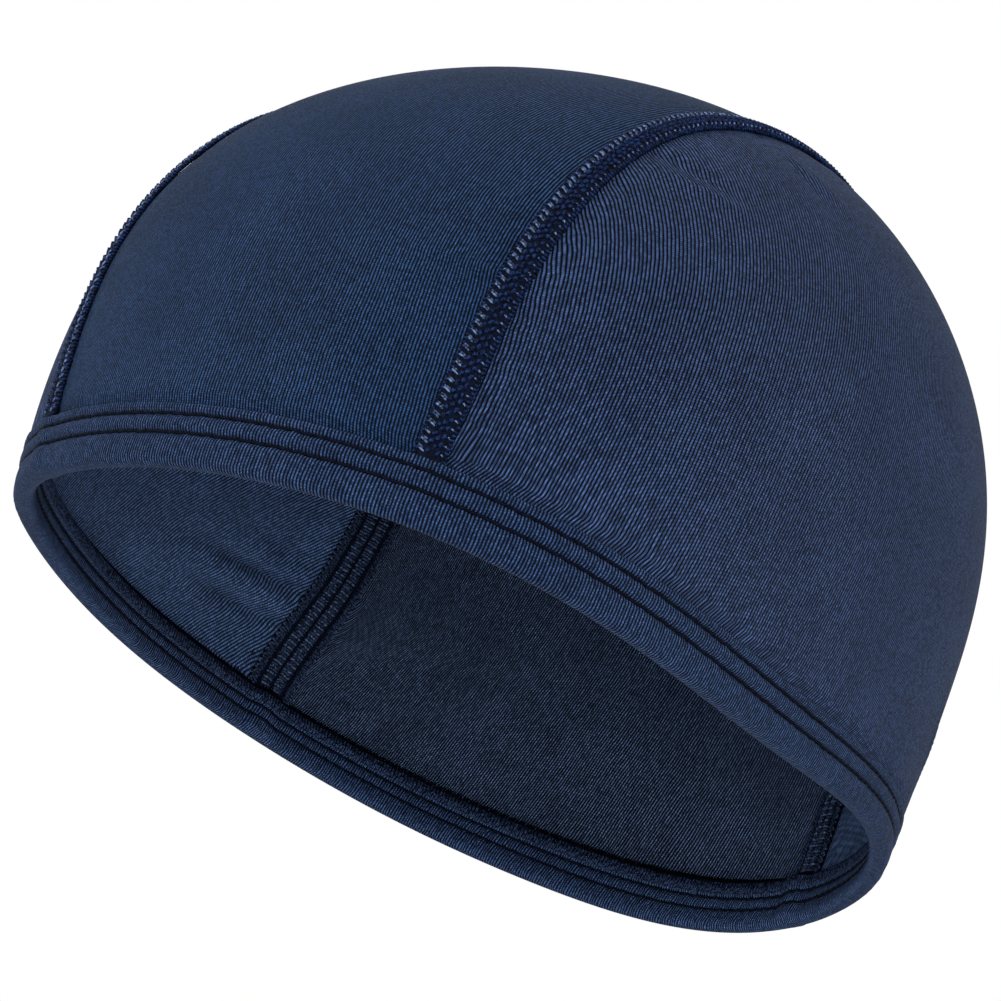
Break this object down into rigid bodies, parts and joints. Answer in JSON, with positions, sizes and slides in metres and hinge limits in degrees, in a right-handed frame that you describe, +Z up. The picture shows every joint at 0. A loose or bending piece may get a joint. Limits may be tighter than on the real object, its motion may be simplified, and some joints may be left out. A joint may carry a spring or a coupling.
{
  "type": "helmet liner cap",
  "caption": "Close-fitting stretch-knit skull cap of a centre strip and two side panels with raised flatlock seams and a folded hem band, worn under a helmet",
  "frame": {"origin": "middle of the head opening, at the level of the rim", "axes": "+Z up through the crown, +Y from the forehead to the back of the head, +X towards the wearer's left"},
  "size_m": [0.1691, 0.2, 0.1372],
  "materials": {
    "panel_knit": "navy polyester and spandex weft knit, smooth face with a soft sheen",
    "binding_knit": "navy polyester and spandex weft knit, folded over the edge and topstitched in two rows",
    "seam_thread": "dark navy textured polyester thread, flatlock stitched"
  },
  "bodies": {
    "root": {"centre_panel": "panel_knit", "left_side_panel": "panel_knit", "right_side_panel": "panel_knit", "left_flatlock_seam": "seam_thread", "right_flatlock_seam": "seam_thread", "hem_band": "binding_knit"}
  },
  "joints": []
}
